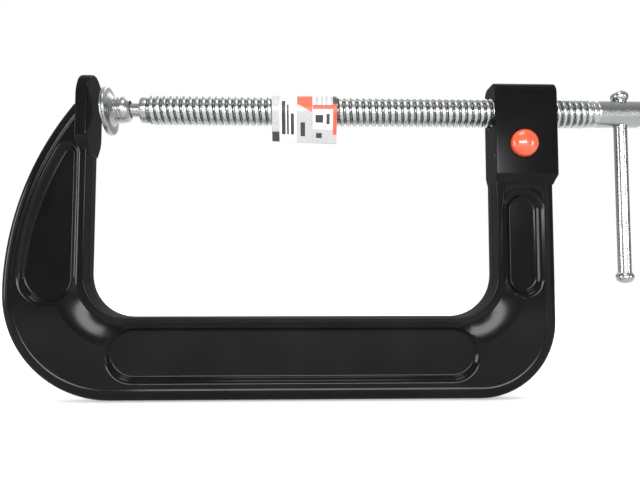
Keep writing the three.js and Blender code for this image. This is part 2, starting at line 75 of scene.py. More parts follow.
MM = 0.001
frame_low, frame_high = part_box("frame")
throat_left = -0.8 * MM
throat_right = 247.2 * MM
rail_top = -127.4 * MM
throat_corner = 26 * MM
spine_radius = 186 * MM
heel_radius = 65.4 * MM
toe_radius = 47.5 * MM
leg_outer = frame_high.x - 1.2 * MM
web_half = 8.2 * MM
rim_width = 5.6 * MM
web_top = 2 * MM
leg_top = -37 * MM
end_tuck = 0.7 * MM
heel_x = frame_low.x + heel_radius
heel_z = frame_low.z + heel_radius
spine_x = frame_low.x + spine_radius
toe_x = leg_outer - toe_radius
toe_z = frame_low.z + toe_radius


def arc(centre_x, centre_z, radius, start, end, count):
    """Points along part of a circle, angles in quarter turns from +X towards +Z."""
    turns = [start + (end - start) * i / count for i in range(count + 1)]
    return [(centre_x + radius * math.cos(t * math.pi / 2), centre_z + radius * math.sin(t * math.pi / 2))
            for t in turns]


def throat_line(grow, tuck=0):
    """The inside of the C from the anvil round to the head, moved into the throat by grow."""
    left, right = throat_left + grow, throat_right - grow
    floor, radius = rail_top + grow, throat_corner - grow
    points = [(left, web_top - tuck)]
    points += arc(left + radius, floor + radius, radius, 2, 3, 14)
    points += arc(right - radius, floor + radius, radius, 3, 4, 14)
    return points + [(right, leg_top - tuck)]


def back_line(grow, tuck=0):
    """The outside of the C from the head round to the anvil, moved outwards by grow."""
    spine = spine_radius + grow
    top_turn = 2 - math.asin((web_top - tuck - heel_z) / spine) / (math.pi / 2)
    points = [(leg_outer + grow, leg_top - tuck)]
    points += arc(toe_x, toe_z, toe_radius + grow, 0, -1, 20)
    points += arc(heel_x, heel_z, heel_radius + grow, -1, -2, 24)
    return points + arc(spine_x, heel_z, spine, 2, top_turn, 24)[1:]


def web_outline(inside, outside):
    """The whole C, seen from the side."""
    return throat_line(inside) + back_line(outside)


def rim_outline(inside, outside):
    """The raised rim round the throat."""
    return throat_line(inside, end_tuck) + throat_line(-rim_width - outside, end_tuck)[::-1]


def bead_outline(inside, outside):
    """The low bead that runs just inside the C's outer edge."""
    return back_line(outside, end_tuck) + back_line(inside, end_tuck)[::-1]


def extruded_ring(bm, ring, points):
    """Extrudes a closed ring of vertices and puts the new ring at the given points."""
    edges = [bm.edges.get(pair) or bm.edges.new(pair) for pair in zip(ring, ring[1:] + ring[:1])]
    made = bmesh.ops.extrude_edge_only(bm, edges=edges)["geom"]
    fresh = {item for item in made if isinstance(item, bmesh.types.BMVert)}
    after = [next(e.other_vert(v) for e in v.link_edges if e.other_vert(v) in fresh) for v in ring]
    for vert, point in zip(after, points):
        vert.co = point
    return after


def lofted(outline, steps):
    """A closed solid through an outline in X and Z: each step is its Y and the outline's arguments."""
    bm = bmesh.new()
    y, *growth = steps[0]
    ring = [bm.verts.new((x, y, z)) for x, z in outline(*growth)]
    bm.faces.new(ring)
    for y, *growth in steps[1:]:
        ring = extruded_ring(bm, ring, [(x, y, z) for x, z in outline(*growth)])
    bm.faces.new(ring)
    bmesh.ops.remove_doubles(bm, verts=bm.verts, dist=1e-7)
    bmesh.ops.recalc_face_normals(bm, faces=bm.faces)
    return bm


merge_within = 0.02 * MM


def piece(name, bm):
    """Turns a bmesh into an object of its own at the origin."""
    mesh = bpy.data.meshes.new(name)
    bm.to_mesh(mesh)
    bm.free()
    made = bpy.data.objects.new(name, mesh)
    bpy.context.scene.collection.objects.link(made)
    return made


def combine(base, bm, operation):
    """Joins a solid to base, or cuts it out of base, and merges the slivers that this leaves."""
    tool = piece("tool", bm)
    change = base.modifiers.new("combine", "BOOLEAN")
    change.operation = operation
    change.solver = "EXACT"
    change.object = tool
    graph = bpy.context.evaluated_depsgraph_get()
    mesh = bpy.data.meshes.new_from_object(base.evaluated_get(graph))
    base.modifiers.remove(change)
    clean = bmesh.new()
    clean.from_mesh(mesh)
    bmesh.ops.remove_doubles(clean, verts=clean.verts, dist=merge_within)
    bmesh.ops.dissolve_degenerate(clean, edges=clean.edges, dist=merge_within / 4)
    clean.to_mesh(mesh)
    clean.free()
    base.data = mesh
    bpy.data.objects.remove(tool)


def mirrored(steps):
    """The steps of the front half, from the face inwards, followed by those of the back half."""
    return steps + [(-y, *growth) for y, *growth in steps[-2::-1]]


# Half sections through the edges, in millimetres: Y, then how far each outline stands out there
edge_of_web = [
    (-8.2, -5.6), (-8.12, -4.6), (-7.85, -3.5), (-7.35, -2.5), (-6.6, -1.6), (-5.6, -0.95), (-4.3, -0.5),
    (-0.5, -0.22), (-0.2, -0.12), (0, 0)]
web_lap = 1.6 * MM
web_steps = [(y * MM, -web_lap, out * MM) for y, out in edge_of_web]
edge_of_rim = [
    (-9, -1.1, -0.5), (-8.9, -0.72, -0.2), (-8.65, -0.5, 0), (-8.3, -0.42, 0.4), (-8.1, -0.4, 0.9),
    (-7.4, -0.38, 1), (-0.5, -0.18, 1), (-0.2, -0.1, 1), (0, 0, 1)]
rim_steps = [(y * MM, inside * MM, out * MM) for y, inside, out in edge_of_rim]
edge_of_bead = [
    (-8.6, -6.2, -5.5), (-8.55, -6.8, -5.0), (-8.4, -7.4, -4.7), (-8.15, -8.2, -4.5), (-7.8, -8.4, -4.6)]
bead_steps = [(y * MM, inside * MM, out * MM) for y, inside, out in edge_of_bead]

casting = piece("frame_casting", lofted(web_outline, mirrored(web_steps)))
combine(casting, lofted(rim_outline, mirrored(rim_steps)), "UNION")
combine(casting, lofted(bead_outline, mirrored(bead_steps)), "UNION")


def rounded_block(corners, low, high, corner_radii, edge_radius):
    """An outline in Y and Z drawn along X from low to high, its corners rounded, then its edges."""
    same = 1e-7
    bm = bmesh.new()
    base = bm.faces.new([bm.verts.new((low, y, z)) for y, z in corners])
    top = bmesh.ops.extrude_face_region(bm, geom=[base])["geom"]
    bmesh.ops.translate(bm, vec=(high - low, 0, 0),
                        verts=[v for v in top if isinstance(v, bmesh.types.BMVert)])
    bmesh.ops.recalc_face_normals(bm, faces=bm.faces)
    for (y, z), radius in zip(corners, corner_radii):
        along = [e for e in bm.edges if all(abs(v.co.y - y) + abs(v.co.z - z) < same for v in e.verts)]
        if radius:
            bmesh.ops.bevel(bm, geom=along, offset=radius, segments=8, profile=0.5, affect="EDGES",
                            material=-1)
    # The end faces are the only ones with many corners
    ends = [e for e in bm.edges
            if abs(e.verts[0].co.x - e.verts[1].co.x) < same
            and any(len(f.verts) > 8 for f in e.link_faces)]
    bmesh.ops.bevel(bm, geom=ends, offset=edge_radius, segments=4, profile=0.5, affect="EDGES", material=-1)
    return bm


# Between the pockets the web is dished towards the rim, deepest half way round each inner corner
dish_width, dish_depth = 17 * MM, 2.4 * MM
dish_start = throat_corner + rim_width + 0.55 * MM
dish_lid = web_half + 2 * MM
dish_margin = 0.05 * MM
turn_steps, width_steps = 24, 12


def dish(centre_x, way, side):
    """What the dish takes out of one face of the web at one inner corner."""
    bm = bmesh.new()
    centre_z = rail_top + throat_corner
    floor, lid = [], []
    for i in range(turn_steps + 1):
        turn = math.pi / 2 * i / turn_steps
        share = max(math.sin(2 * turn), 0) ** 0.7
        for j in range(width_steps + 1):
            radius = dish_start + dish_width * j / width_steps
            sink = dish_depth * share * (1 - j / width_steps) ** 2 - dish_margin
            x, z = centre_x + way * radius * math.cos(turn), centre_z - radius * math.sin(turn)
            floor.append(bm.verts.new((x, side * (web_half - sink), z)))
            lid.append(bm.verts.new((x, side * dish_lid, z)))
    row = width_steps + 1
    for grid in (floor, lid):
        for i in range(turn_steps):
            for j in range(width_steps):
                k = row * i + j
                bm.faces.new((grid[k], grid[k + 1], grid[k + row + 1], grid[k + row]))
    last_row = row * turn_steps
    rim = [j for j in range(width_steps)]
    rim += [row * i + width_steps for i in range(turn_steps)]
    rim += [last_row + j for j in range(width_steps, 0, -1)]
    rim += [row * i for i in range(turn_steps, 0, -1)]
    for a, b in zip(rim, rim[1:] + rim[:1]):
        bm.faces.new((floor[a], floor[b], lid[b], lid[a]))
    bmesh.ops.recalc_face_normals(bm, faces=bm.faces)
    return bm


for centre_x, way in ((throat_left + throat_corner, -1), (throat_right - throat_corner, 1)):
    for side in (-1, 1):
        combine(casting, dish(centre_x, way, side), "DIFFERENCE")

# The anvil plate stands across the leg's tip. Its skirt runs out into the leg's side.
anvil_half = frame_high.y
anvil_top = frame_high.z
anvil_corners = [
    (-6 * MM, anvil_top), (-anvil_half, 12 * MM), (-anvil_half, -20.5 * MM), (-7.6 * MM, -29 * MM),
    (7.6 * MM, -29 * MM), (anvil_half, -20.5 * MM), (anvil_half, 12 * MM), (6 * MM, anvil_top)]
anvil_radii = [6 * MM, 6 * MM, 4 * MM, 0, 0, 4 * MM, 6 * MM, 6 * MM]
combine(casting, rounded_block(anvil_corners, -7.4 * MM, 0, anvil_radii, 0.9 * MM), "UNION")

# The head is wider than the leg. Its shoulders are round and its underside slopes back to the leg.
head_half = 11.7 * MM
head_top = 17.5 * MM
head_skirt = -40.6 * MM
head_bottom = -46.4 * MM
head_corners = [
    (-8 * MM, head_bottom), (8 * MM, head_bottom), (head_half, head_skirt), (head_half, head_top),
    (-head_half, head_top), (-head_half, head_skirt)]
head_radii = [0, 0, 0.7 * MM, 7 * MM, 7 * MM, 0.7 * MM]
head = rounded_block(head_corners, throat_right, frame_high.x, head_radii, 1.1 * MM)
# The underside slopes in to the leg on the handle's side as well
for vert in head.verts:
    drop = (head_skirt - vert.co.z) / (head_skirt - head_bottom)
    if drop > 0 and vert.co.x > leg_outer:
        vert.co.x += (leg_outer - 1.2 * MM - vert.co.x) * drop
combine(casting, head, "UNION")

# Pockets lighten both faces. Their walls lean out and roll over at the mouth.
pocket_wall = [
    (5.0, -1.4), (5.06, -0.7), (5.35, 0), (5.9, 0.5), (7.0, 1.5), (7.6, 2.2), (8.0, 3.1), (8.22, 4.2),
    (10.5, 6.5)]


def rail_pocket(grow):
    """The long pocket in the rail."""
    high, low = rail_top - 8.2 * MM, frame_low.z + 14 * MM
    radius = (high - low) / 2
    middle = (high + low) / 2
    left, right = 14.4 * MM + radius, 234 * MM - radius
    return arc(left, middle, radius + grow, 1, 3, 28) + arc(right, middle, radius + grow, 3, 5, 28)


def head_leg_pocket(grow):
    """The pocket in the leg under the head."""
    left, right = 256.2 * MM, 273 * MM
    radius = (right - left) / 2
    high, low = -54 * MM - radius, -112.4 * MM + radius
    middle = (left + right) / 2
    return arc(middle, high, radius + grow, 0, 2, 22) + arc(middle, low, radius + grow, 2, 4, 22)


def anvil_leg_pocket(grow):
    """The three-cornered pocket in the anvil's leg, which follows the leg's curved back."""
    right = -9.6 * MM + grow
    back = spine_radius - 12.8 * MM + grow
    low = -117.2 * MM - grow
    corner, apex = 13 * MM + grow, 3.4 * MM + grow
    # The apex circle touches the right side and the curved back
    apex_x = right - apex
    apex_z = heel_z + math.sqrt((back - apex) ** 2 - (apex_x - spine_x) ** 2)
    apex_turn = math.atan2(apex_z - heel_z, apex_x - spine_x) / (math.pi / 2)
    # The lower outside corner touches the floor and the curved back
    foot = 15 * MM + grow
    foot_z = low + foot
    foot_x = spine_x - math.sqrt((back - foot) ** 2 - (foot_z - heel_z) ** 2)
    foot_turn = math.atan2(foot_z - heel_z, foot_x - spine_x) / (math.pi / 2) % 4
    points = arc(apex_x, apex_z, apex, 0, apex_turn, 12)
    points += arc(spine_x, heel_z, back, apex_turn, foot_turn, 30)[1:-1]
    points += arc(foot_x, foot_z, foot, foot_turn, 3, 14)
    return points + arc(right - corner, low + corner, corner, 3, 4, 12)


for pocket in (rail_pocket, head_leg_pocket, anvil_leg_pocket):
    for side in (-1, 1):
        wall = [(side * y * MM, out * MM) for y, out in pocket_wall]
        combine(casting, lofted(pocket, wall), "DIFFERENCE")


def turned(profile, axis, centre, steps=64):
    """A closed solid of revolution. Each profile point is a radius and a distance along the axis."""
    bm = bmesh.new()
    along = Vector(axis)
    side = Vector((0, 0, 1)) if abs(along.z) < 0.5 else Vector((1, 0, 0))
    chain = [bm.verts.new(Vector(centre) + along * d + side * r) for r, d in profile]
    edges = [bm.edges.new(pair) for pair in zip(chain, chain[1:])]
    bmesh.ops.spin(bm, geom=chain + edges, cent=centre, axis=axis, angle=2 * math.pi, steps=steps,
                   use_merge=True)
    bmesh.ops.remove_doubles(bm, verts=bm.verts, dist=1e-6)
    bmesh.ops.recalc_face_normals(bm, faces=bm.faces)
    return bm


def slab(low, high):
    """A rectangular solid between two corners."""
    bm = bmesh.new()
    bmesh.ops.create_cube(bm, size=1)
    low, high = Vector(low), Vector(high)
    bmesh.ops.scale(bm, vec=high - low, verts=bm.verts)
    bmesh.ops.translate(bm, vec=(low + high) / 2, verts=bm.verts)
    return bm


X_AXIS, Y_AXIS, Z_AXIS = (1, 0, 0), (0, 1, 0), (0, 0, 1)

bore = 9.35 * MM
mouth = 0.7 * MM
combine(casting, turned([
    (0, throat_right - MM), (bore + mouth + MM, throat_right - MM), (bore, throat_right + mouth),
    (bore, frame_high.x - mouth), (bore + mouth + MM, frame_high.x + MM), (0, frame_high.x + MM)],
    X_AXIS, (0, 0, 0), 96), "DIFFERENCE")

button_low, button_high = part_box("release_button")
button_x = (button_low.x + button_high.x) / 2
button_z = (button_low.z + button_high.z) / 2
button_radius = (button_high.x - button_low.x) / 2
guide = button_radius + 0.3 * MM
lip = 0.45 * MM
combine(casting, turned([
    (0, -head_half - MM), (guide + lip + MM, -head_half - MM), (guide, -head_half + lip),
    (guide, -4.3 * MM), (0, -4.3 * MM)], Y_AXIS, (button_x, 0, button_z), 96), "DIFFERENCE")
plunger_bore = 4.3 * MM
combine(casting, turned([(0, -5 * MM), (plunger_bore, -5 * MM), (plunger_bore, 9.9 * MM), (0, 9.9 * MM)],
    Y_AXIS, (button_x, 0, button_z), 40), "DIFFERENCE")
nut_low, nut_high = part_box("half_nut")
nut_room = Vector((0.3 * MM, 0.3 * MM, 0))
combine(casting, slab(nut_low - nut_room - Vector((0, 0, -0.3 * MM)), nut_high + nut_room), "DIFFERENCE")
pin_low, pin_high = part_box("button_retaining_pin")
pin_radius = (pin_high.z - pin_low.z) / 2 + 0.3 * MM
pin_y, pin_z = (pin_high.y + pin_low.y) / 2, (pin_high.z + pin_low.z) / 2
combine(casting, turned([
    (0, throat_right - MM), (pin_radius, throat_right - MM), (pin_radius, pin_high.x), (0, pin_high.x)],
    X_AXIS, (0, pin_y, pin_z), 24), "DIFFERENCE")


def shade(made, angle):
    """Smooth shading, with an edge kept sharp where its faces meet at more than the angle in degrees."""
    made.data.shade_smooth()
    made.data.set_sharp_from_angle(angle=math.radians(angle))
    weighted = made.modifiers.new("weighted", "WEIGHTED_NORMAL")
    weighted.keep_sharp = True
    weighted.weight = 90


shade(casting, 38)


def finish(name, colour, metallic, roughness):
    """A principled material with Object coordinates to hand. Returns it, its nodes, links and shader."""
    material = bpy.data.materials.new(name)
    material.use_nodes = True
    tree = material.node_tree
    shader = tree.nodes["Principled BSDF"]
    shader.inputs["Base Color"].default_value = (*colour, 1)
    shader.inputs["Metallic"].default_value = metallic
    shader.inputs["Roughness"].default_value = roughness
    place = tree.nodes.new("ShaderNodeTexCoord")
    return material, tree, shader, place.outputs["Object"]


def noise(tree, vector, scale, detail):
    """A noise texture's value."""
    texture = tree.nodes.new("ShaderNodeTexNoise")
    texture.inputs["Scale"].default_value = scale
    texture.inputs["Detail"].default_value = detail
    tree.links.new(vector, texture.inputs["Vector"])
    return texture.outputs["Fac"]


def spread(tree, value, low, high, to_low, to_high):
    """Maps a value from one range to another, clamped."""
    node = tree.nodes.new("ShaderNodeMapRange")
    for socket, number in zip(("From Min", "From Max", "To Min", "To Max"), (low, high, to_low, to_high)):
        node.inputs[socket].default_value = number
    tree.links.new(value, node.inputs["Value"])
    return node.outputs["Result"]


def mixed(tree, share, first, second):
    """A colour between two colours, by a share from 0 to 1."""
    node = tree.nodes.new("ShaderNodeMix")
    node.data_type = "RGBA"
    tree.links.new(share, node.inputs["Factor"])
    for socket, colour in ((6, first), (7, second)):
        if isinstance(colour, tuple):
            node.inputs[socket].default_value = (*colour, 1)
        else:
            tree.links.new(colour, node.inputs[socket])
    return node.outputs[2]


def bumped(tree, shader, height, distance, strength=1.0, under=None):
    """Adds a bump to the shader's normal, over another bump if one is given."""
    node = tree.nodes.new("ShaderNodeBump")
    node.inputs["Distance"].default_value = distance
    node.inputs["Strength"].default_value = strength
    tree.links.new(height, node.inputs["Height"])
    if under:
        tree.links.new(under, node.inputs["Normal"])
    tree.links.new(node.outputs["Normal"], shader.inputs["Normal"])
    return node.outputs["Normal"]


# Powder coat: fine orange peel over the slightly uneven skin of a sand casting
coat, tree, shader, place = finish("black_powder_coat", (0.010, 0.010, 0.012), 0, 0.3)
shader.inputs["Specular IOR Level"].default_value = 0.0
shader.inputs["Coat Weight"].default_value = 0.2
shader.inputs["Coat Roughness"].default_value = 0.14
cast_skin = noise(tree, place, 120, 3)
orange_peel = noise(tree, place, 900, 2)
cloud = spread(tree, noise(tree, place, 38, 4), 0.35, 0.7, 0, 1)
black = mixed(tree, cloud, (0.0030, 0.0032, 0.0036), (0.0052, 0.0052, 0.0056))
tree.links.new(black, shader.inputs["Base Color"])
tree.links.new(spread(tree, noise(tree, place, 240, 3), 0.3, 0.7, 0.32, 0.44), shader.inputs["Roughness"])
waves = bumped(tree, shader, cast_skin, 0.00012, 0.4)
bumped(tree, shader, orange_peel, 0.00003, 0.6, waves)
casting.data.materials.clear()
casting.data.materials.append(coat)
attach(casting, "frame")
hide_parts("frame")


# ---- Spindle ---------------------------------------------------------------------------------
# Turned from bright steel with a rolled right-hand trapezoidal thread, then zinc plated. The thin
# neck at the nose carries the ball, and the plain end is cross-drilled for the bar.

spindle_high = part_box("spindle")[1]
pitch = 4 * MM
crest, root = 9 * MM, 7.3 * MM
collar_start, collar_end = 28.8 * MM, 33.1 * MM
thread_start, thread_end = 33.4 * MM, 316 * MM
run_out_start = 306 * MM
start_radius, start_slope = 7.4 * MM, 1.1
shank = 8.35 * MM
shank_under_thread = shank - 0.15 * MM
collar = 7.9 * MM
neck = 4.2 * MM
steps_per_turn = 40
# One turn of the thread, as shares of the pitch and of the thread's depth
tooth = [(0, 0), (0.07, 0.04), (0.13, 0.3), (0.2, 0.72), (0.29, 0.94), (0.4, 1), (0.6, 1), (0.71, 0.94),
         (0.8, 0.72), (0.87, 0.3), (0.93, 0.04), (1, 0)]
turns = math.ceil((thread_end - thread_start) / pitch) + 3

thread = bmesh.new()
chain = [thread.verts.new((thread_start + (share - 2) * pitch, 0, root + (crest - root) * height))
         for share, height in tooth]
edges = [thread.edges.new(pair) for pair in zip(chain, chain[1:])]
bmesh.ops.spin(thread, geom=chain + edges, cent=(0, 0, 0), axis=X_AXIS, dvec=(pitch / steps_per_turn, 0, 0),
               angle=2 * math.pi, steps=steps_per_turn, use_merge=False)
made = 1
while made < turns:
    copied = bmesh.ops.duplicate(thread, geom=thread.verts[:] + thread.edges[:] + thread.faces[:])["geom"]
    bmesh.ops.translate(thread, vec=(made * pitch, 0, 0),
                        verts=[v for v in copied if isinstance(v, bmesh.types.BMVert)])
    made *= 2
bmesh.ops.remove_doubles(thread, verts=thread.verts, dist=4e-6)
for cut_x, outwards in ((thread_start, -1), (thread_end, 1)):
    bmesh.ops.bisect_plane(thread, geom=thread.verts[:] + thread.edges[:] + thread.faces[:], dist=1e-8,
                           plane_co=(cut_x, 0, 0), plane_no=(outwards, 0, 0), clear_outer=True)
    rim_edges = [e for e in thread.edges if e.is_boundary and abs(e.verts[0].co.x - cut_x) < 1e-6]
    bmesh.ops.contextual_create(thread, geom=rim_edges)
# The thread starts on a chamfer and runs out gently into the plain shank
for vert in thread.verts:
    radius = math.hypot(vert.co.y, vert.co.z)
    limit = start_radius + (vert.co.x - thread_start) * start_slope
    fade = max(0, (vert.co.x - run_out_start) / (thread_end - run_out_start))
    wanted = min(radius, limit) * (1 - fade) + shank_under_thread * fade
    vert.co.yz = vert.co.yz * (wanted / radius)
bmesh.ops.recalc_face_normals(thread, faces=thread.faces)
screw = piece("spindle_thread", thread)

ball_low, ball_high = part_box("nose_ball")
ball_x = (ball_low.x + ball_high.x) / 2
ball_radius = (ball_high.x - ball_low.x) / 2
ball_gap = 0.3 * MM
core = 7 * MM
end = spindle_high.x
hollow = ball_radius + ball_gap
neck_start = ball_x + math.sqrt(hollow ** 2 - neck ** 2)
# The neck's end is hollowed to fit the ball
hollow_middle = neck * 0.6
body = [
    (0, ball_x + hollow), (hollow_middle, ball_x + math.sqrt(hollow ** 2 - hollow_middle ** 2)),
    (neck * 0.98, neck_start + 0.1 * MM), (neck, neck_start + 0.6 * MM), (neck, collar_start - 1.2 * MM),
    (neck + 0.3 * MM, collar_start - 0.5 * MM), (neck + 1.0 * MM, collar_start),
    (collar - 0.5 * MM, collar_start), (collar - 0.1 * MM, collar_start + 0.4 * MM),
    (collar, collar_start + 1 * MM), (collar, collar_end - 0.8 * MM),
    (collar - 0.3 * MM, collar_end - 0.2 * MM), (core, collar_end), (core, collar_end + 0.1 * MM),
    (core, thread_end - 3 * MM), (shank - 0.6 * MM, thread_end - 1.4 * MM), (shank, thread_end - 0.6 * MM),
    (shank, end - 1.1 * MM), (shank - 0.3 * MM, end - 0.4 * MM), (shank - 1.1 * MM, end), (0, end)]
spindle = piece("spindle_core", turned(body, X_AXIS, (0, 0, 0), 72))

bar_low, bar_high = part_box("t_bar")
bar_x = (bar_low.x + bar_high.x) / 2
bar_radius = (bar_high.x - bar_low.x) / 2
hole = bar_radius + 0.35 * MM
hole_half, overcut = 7.4 * MM, 12 * MM
flare = hole + overcut - hole_half - 0.2 * MM
combine(spindle, turned([
    (0, -overcut), (flare, -overcut), (hole, -hole_half), (hole, hole_half), (flare, overcut), (0, overcut)],
    Z_AXIS, (bar_x, 0, 0), 48), "DIFFERENCE")
shade(screw, 40)
shade(spindle, 40)


def zinc(name, grey, roughness, painted_root_shade):
    """Bright zinc plate: a bluish metal whose sheen and tint wander, with painted shade darkening what lies
    deep near the axis, such as the thread's roots.
    """
    material, tree, shader, place = finish(name, grey, 1, roughness)
    blotch = spread(tree, noise(tree, place, 160, 4), 0.35, 0.68, 0, 1)
    tint = mixed(tree, blotch, grey, tuple(c * f for c, f in zip(grey, (0.93, 0.95, 0.97))))
    tree.links.new(tint, shader.inputs["Base Color"])
    grain = noise(tree, place, 500, 2)
    tree.links.new(spread(tree, noise(tree, place, 420, 4), 0.3, 0.7, roughness * 0.92, roughness * 1.12),
                   shader.inputs["Roughness"])
    bumped(tree, shader, grain, 0.000001, 0.3)
    # Painted shade: the colour turns darker towards the axis, so the thread's roots look shaded
    if painted_root_shade:
        low, high = painted_root_shade
        split = tree.nodes.new("ShaderNodeSeparateXYZ")
        tree.links.new(place, split.inputs[0])
        square = tree.nodes.new("ShaderNodeCombineXYZ")
        tree.links.new(split.outputs["Y"], square.inputs["Y"])
        tree.links.new(split.outputs["Z"], square.inputs["Z"])
        length = tree.nodes.new("ShaderNodeVectorMath")
        length.operation = "LENGTH"
        tree.links.new(square.outputs[0], length.inputs[0])
        depth = spread(tree, length.outputs["Value"], low, high, 0, 1)
        shaded_grey = tuple(c * 0.35 for c in grey)
        tree.links.new(mixed(tree, depth, shaded_grey, tint), shader.inputs["Base Color"])
    return material


# The thread's roots get painted shade: darker colour close to the axis
thread_zinc = zinc("zinc_thread", (0.42, 0.435, 0.425), 0.27, (root - 0.1 * MM, root + 0.9 * MM))
plain_zinc = zinc("zinc_plate", (0.33, 0.338, 0.33), 0.26, None)
screw.data.materials.append(thread_zinc)
spindle.data.materials.clear()
spindle.data.materials.append(plain_zinc)
for turned_steel in (screw, spindle):
    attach(turned_steel, "spindle")
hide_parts("spindle")


# ---- Nose ball and swivel pad ----------------------------------------------------------------
# The ball is turned on the spindle's end. The pad is a turned disc whose socket is closed over
# the ball by rolling its lip, which leaves rings round the hub. It droops until its lip stops it.

nose_ball = frame["nodes"]["nose_ball"]
nose_ball.data.materials.clear()
nose_ball.data.materials.append(plain_zinc)

pad_face = next(m for m in frame["record"]["mounts"] if m["name"] == "pad_face")
lean = math.asin(-pad_face["axis"][2])
face = -(Vector(pad_face["pos_m"]) - Vector((ball_x, 0, 0))).length
disc = 15 * MM
hub = 8 * MM
hub_end = 5.8 * MM
lip_radius = 5.25 * MM
pad_profile = [(0, face + 0.5 * MM), (5 * MM, face + 0.5 * MM), (5.6 * MM, face), (disc - 0.9 * MM, face),
               (disc - 0.3 * MM, face + 0.25 * MM), (disc, face + 0.8 * MM), (disc, face + 1.3 * MM),
               (disc - 0.45 * MM, face + 1.6 * MM), (disc - 0.45 * MM, face + 1.85 * MM),
               (disc - 0.05 * MM, face + 2.15 * MM), (disc - 0.15 * MM, face + 2.7 * MM),
               (disc - 0.7 * MM, face + 3.15 * MM)]
cone = [(13.4, 3.35), (12.2, 3.5), (11.0, 3.8), (9.9, 4.3), (9.1, 5.0), (8.4, 5.7)]
pad_profile += [(r * MM, face + d * MM) for r, d in cone]
for ring in (-3.3 * MM, -1.2 * MM):
    pad_profile += [(hub - 0.1 * MM, ring), (hub, ring + 0.5 * MM), (hub, ring + 1.1 * MM),
                    (hub - 0.5 * MM, ring + 1.6 * MM), (hub - 0.5 * MM, ring + 1.8 * MM)]
shoulder = [(0.1, 0.9), (0.1, 2.2), (0.35, 3.2), (0.9, 4.1), (1.7, 5.0)]
pad_profile += [(hub - inset * MM, d * MM) for inset, d in shoulder]
pad_profile += [(lip_radius + 0.35 * MM, hub_end), (lip_radius, hub_end - 0.3 * MM)]
socket = ball_radius + ball_gap
mouth_angle, socket_steps = 62, 16
for i in range(socket_steps):
    angle = math.radians(mouth_angle + (180 - mouth_angle) * i / socket_steps)
    pad_profile.append((socket * math.sin(angle), socket * math.cos(angle)))
pad_profile.append((0, -socket))
pad_mesh = turned(pad_profile, X_AXIS, (0, 0, 0), 96)
bmesh.ops.rotate(pad_mesh, cent=(0, 0, 0), matrix=Matrix.Rotation(-lean, 3, "Y"), verts=pad_mesh.verts)
bmesh.ops.translate(pad_mesh, vec=(ball_x, 0, 0), verts=pad_mesh.verts)
swivel = piece("swivel_pad_disc", pad_mesh)
shade(swivel, 40)
swivel.data.materials.append(plain_zinc)
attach(swivel, "pad")
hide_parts("swivel_pad")


# ---- Sliding bar -----------------------------------------------------------------------------
# A plain drawn rod with a flattened ball pressed on each end, so it can't fall out of the
# spindle. It hangs by its upper knob.

bar_profile = [(0, bar_low.z), (bar_radius, bar_low.z), (bar_radius, bar_high.z), (0, bar_high.z)]
bar = piece("t_bar_rod", turned(bar_profile, Z_AXIS, (bar_x, 0, 0), 48))
shade(bar, 40)
bar.data.materials.append(plain_zinc)
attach(bar, "bar")
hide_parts("t_bar")

knob_half = 3.9 * MM
knob_hole = bar_radius + 0.05 * MM
knob_hole_end = 2.4 * MM
knob_foot_angle, knob_steps = -48, 24
for name, way in (("t_bar_knob_upper", 1), ("t_bar_knob_lower", -1)):
    knob_low, knob_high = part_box(name)
    knob_radius = (knob_high.x - knob_low.x) / 2
    tip = knob_high.z if way > 0 else knob_low.z
    middle = tip - way * knob_half
    profile = []
    for i in range(knob_steps):
        angle = math.radians(knob_foot_angle + (90 - knob_foot_angle) * i / knob_steps)
        profile.append((knob_radius * math.cos(angle) ** 0.9, way * knob_half * math.sin(angle)))
    profile.append((0, way * knob_half))
    hole_start = (knob_hole, -way * 0.5 * MM)
    profile = [hole_start, (knob_hole, profile[0][1] - way * 0.25 * MM)] + profile
    profile += [(0, way * knob_hole_end), (knob_hole, way * knob_hole_end), hole_start]
    knob = piece(name + "_cap", turned(profile, Z_AXIS, (bar_x, 0, middle), 48))
    shade(knob, 40)
    knob.data.materials.append(plain_zinc)
    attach(knob, "bar")
    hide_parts(name)


# ---- Push button -----------------------------------------------------------------------------
# A moulded cap with a domed front, pressed on the plunger's end. It sits in its bore in the head
# with a fine dark gap round it.

dome_height = 5.2 * MM
cap_rear = -head_half + 4.3 * MM
socket_floor, socket_radius = -head_half + 0.5 * MM, 2.8 * MM
dome_profile = [(0, button_low.y)]
for i in range(1, 21):
    angle = math.radians(90 * i / 20)
    dome_profile.append((button_radius * math.sin(angle), button_low.y + dome_height * (1 - math.cos(angle))))
dome_profile += [
    (button_radius, cap_rear - 0.3 * MM), (button_radius - 0.3 * MM, cap_rear), (socket_radius, cap_rear),
    (socket_radius, socket_floor), (0, socket_floor)]
button = piece("release_button_cap", turned(dome_profile, Y_AXIS, (button_x, 0, button_z), 96))
shade(button, 40)
moulding, tree, shader, place = finish("coral_plastic", (0.86, 0.135, 0.055), 0, 0.24)
shader.inputs["Coat Weight"].default_value = 0.4
shader.inputs["Coat Roughness"].default_value = 0.08
shader.inputs["Subsurface Weight"].default_value = 0.08
shader.inputs["Subsurface Scale"].default_value = 0.002
cloud = spread(tree, noise(tree, place, 120, 3), 0.35, 0.65, 0, 1)
tree.links.new(mixed(tree, cloud, (0.5, 0.062, 0.024), (0.56, 0.078, 0.03)), shader.inputs["Base Color"])
tree.links.new(spread(tree, noise(tree, place, 600, 2), 0.3, 0.7, 0.2, 0.3), shader.inputs["Roughness"])
bumped(tree, shader, noise(tree, place, 350, 2), 0.00004, 0.4)
button.data.materials.append(moulding)
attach(button, "button")
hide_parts("release_button")


# ---- Works inside the head -------------------------------------------------------------------
# Half nut, plunger, return spring and retaining pin in plain oiled steel. Nothing of them shows
# from outside, so they keep their plain shapes.

